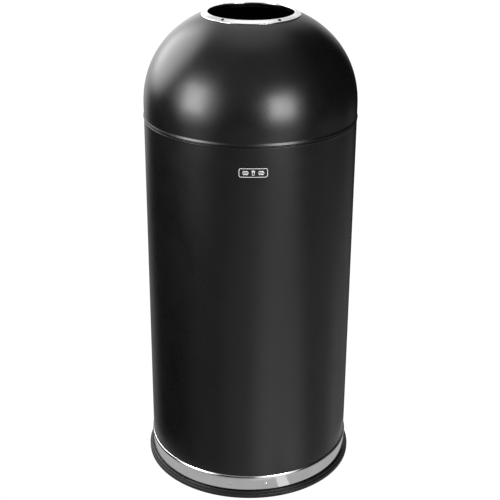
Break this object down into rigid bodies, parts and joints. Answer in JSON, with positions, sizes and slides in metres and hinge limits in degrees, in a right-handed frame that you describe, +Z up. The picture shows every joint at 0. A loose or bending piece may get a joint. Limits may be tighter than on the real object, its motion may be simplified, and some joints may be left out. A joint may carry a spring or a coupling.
{
  "type": "dome top litter bin",
  "caption": "Round dome-top litter bin: steel body with a polished foot band, lift-off dome with a round throw-in mouth, and a lift-out galvanised liner with a bail.",
  "frame": {"origin": "centre of the plinth's foot, on the floor", "axes": "+Z up along the bin's axis, -Y towards the nameplate"},
  "size_m": [0.38, 0.38, 0.8342],
  "materials": {
    "black_coat": "satin black powder coat with a fine texture",
    "polished_steel": "polished stainless steel",
    "black_plastic": "moulded black plastic with a soft sheen",
    "galvanised": "hot-dip galvanised sheet with faint spangle",
    "zinc_steel": "zinc-plated steel",
    "dark_screw": "blackened steel screw",
    "plate": "small satin plate with a plain pictogram and no lettering"
  },
  "bodies": {
    "body": {"body_shell": "black_coat", "base_pan": "black_coat", "base_band": "polished_steel", "band_rivet_1": "polished_steel", "band_rivet_2": "polished_steel", "band_rivet_3": "polished_steel", "band_rivet_4": "polished_steel", "plinth_ring": "black_plastic", "plinth_screw_1": "zinc_steel", "plinth_screw_2": "zinc_steel", "plinth_screw_3": "zinc_steel", "plinth_screw_4": "zinc_steel", "nameplate": "plate"},
    "liner": {"liner_wall": "galvanised", "liner_floor": "galvanised", "rim_wire": "zinc_steel", "bail_ear_left": "galvanised", "bail_ear_right": "galvanised", "ear_rivet_1": "zinc_steel", "ear_rivet_2": "zinc_steel", "ear_rivet_3": "zinc_steel", "ear_rivet_4": "zinc_steel"},
    "bail": {"bail_wire": "zinc_steel", "bail_grip": "black_plastic"},
    "dome": {"dome_shell": "black_coat", "dome_collar": "black_coat", "trim_ring": "polished_steel", "ring_screw_1": "dark_screw", "ring_screw_2": "dark_screw", "ring_screw_3": "dark_screw", "ring_screw_4": "dark_screw"}
  },
  "joints": [
    {"name": "liner_lift", "type": "slide", "parent": "body", "child": "liner", "axis": [0, 0, 1], "range_m": [0, 0.66]},
    {"name": "bail_swing", "type": "hinge", "parent": "liner", "child": "bail", "pos_m": [0, 0, 0.646], "axis": [1, 0, 0], "range_deg": [0, 180]},
    {"name": "dome_lift", "type": "slide", "parent": "liner", "child": "dome", "axis": [0, 0, 1], "range_m": [0, 0.3]}
  ]
}
